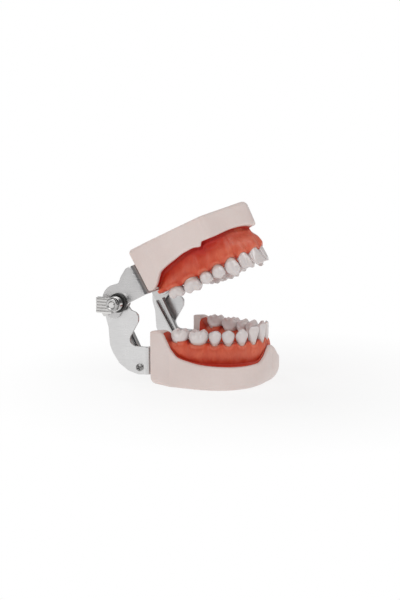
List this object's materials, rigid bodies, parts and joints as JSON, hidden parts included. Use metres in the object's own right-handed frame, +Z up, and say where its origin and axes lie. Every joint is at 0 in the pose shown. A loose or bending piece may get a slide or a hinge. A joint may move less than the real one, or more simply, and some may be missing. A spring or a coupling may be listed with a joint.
{
  "type": "typodont model",
  "caption": "Open practice jaw: two cast bases with gum masks and separate teeth, on a hinged sheet-metal frame with a side clamp lever.",
  "frame": {"origin": "on the flat underside of the lower base, on the mid-plane, under the lower incisors", "axes": "+Z up, out of the resting face; -Y towards the front teeth and +Y towards the hinge; +X towards the model's own left side. Rest is the jaw standing open."},
  "size_m": [0.077, 0.093, 0.103],
  "materials": {
    "base_resin": "cast resin, satin",
    "gum_silicone": "soft silicone, satin",
    "tooth_resin": "polished",
    "satin_steel": "satin",
    "bright_steel": "bright",
    "dark_bush": "matte"
  },
  "bodies": {
    "lower": {"lower_base": "base_resin", "lower_gum": "gum_silicone", "lower_right_central_incisor": "tooth_resin", "lower_right_lateral_incisor": "tooth_resin", "lower_right_canine": "tooth_resin", "lower_right_first_premolar": "tooth_resin", "lower_right_second_premolar": "tooth_resin", "lower_right_first_molar": "tooth_resin", "lower_right_second_molar": "tooth_resin", "lower_left_central_incisor": "tooth_resin", "lower_left_lateral_incisor": "tooth_resin", "lower_left_canine": "tooth_resin", "lower_left_first_premolar": "tooth_resin", "lower_left_second_premolar": "tooth_resin", "lower_left_first_molar": "tooth_resin", "lower_left_second_molar": "tooth_resin", "lower_bracket": "satin_steel", "lower_bracket_screw_right": "bright_steel", "arm_screw_right": "bright_steel", "arm_screw_nut_right": "bright_steel", "friction_bush_right": "dark_bush", "lower_bracket_screw_left": "bright_steel", "arm_screw_left": "bright_steel", "arm_screw_nut_left": "bright_steel", "friction_bush_left": "dark_bush"},
    "upper": {"upper_base": "base_resin", "upper_gum": "gum_silicone", "upper_right_central_incisor": "tooth_resin", "upper_right_lateral_incisor": "tooth_resin", "upper_right_canine": "tooth_resin", "upper_right_first_premolar": "tooth_resin", "upper_right_second_premolar": "tooth_resin", "upper_right_first_molar": "tooth_resin", "upper_right_second_molar": "tooth_resin", "upper_left_central_incisor": "tooth_resin", "upper_left_lateral_incisor": "tooth_resin", "upper_left_canine": "tooth_resin", "upper_left_first_premolar": "tooth_resin", "upper_left_second_premolar": "tooth_resin", "upper_left_first_molar": "tooth_resin", "upper_left_second_molar": "tooth_resin", "upper_bracket": "satin_steel", "stop_bail": "bright_steel", "upper_bracket_screw_right": "bright_steel", "pivot_bolt_right": "bright_steel", "inner_nut_right": "bright_steel", "inner_washer_right": "bright_steel", "outer_bush_right": "dark_bush", "upper_bracket_screw_left": "bright_steel", "pivot_bolt_left": "bright_steel", "inner_nut_left": "bright_steel", "inner_washer_left": "bright_steel", "outer_bush_left": "dark_bush", "tab_washer": "bright_steel", "far_washer": "bright_steel", "far_nut": "bright_steel"},
    "lever": {"lock_lever": "bright_steel", "clamp_nut": "bright_steel"}
  },
  "joints": [
    {"name": "jaw_hinge", "type": "hinge", "parent": "lower", "child": "upper", "pos_m": [0, 0.07275, 0.0459], "axis": [-1, 0, 0], "range_deg": [-26, 9]},
    {"name": "lever_turn", "type": "hinge", "parent": "upper", "child": "lever", "pos_m": [0, 0.07275, 0.0459], "axis": [-1, 0, 0], "range_deg": [0, 90]}
  ]
}
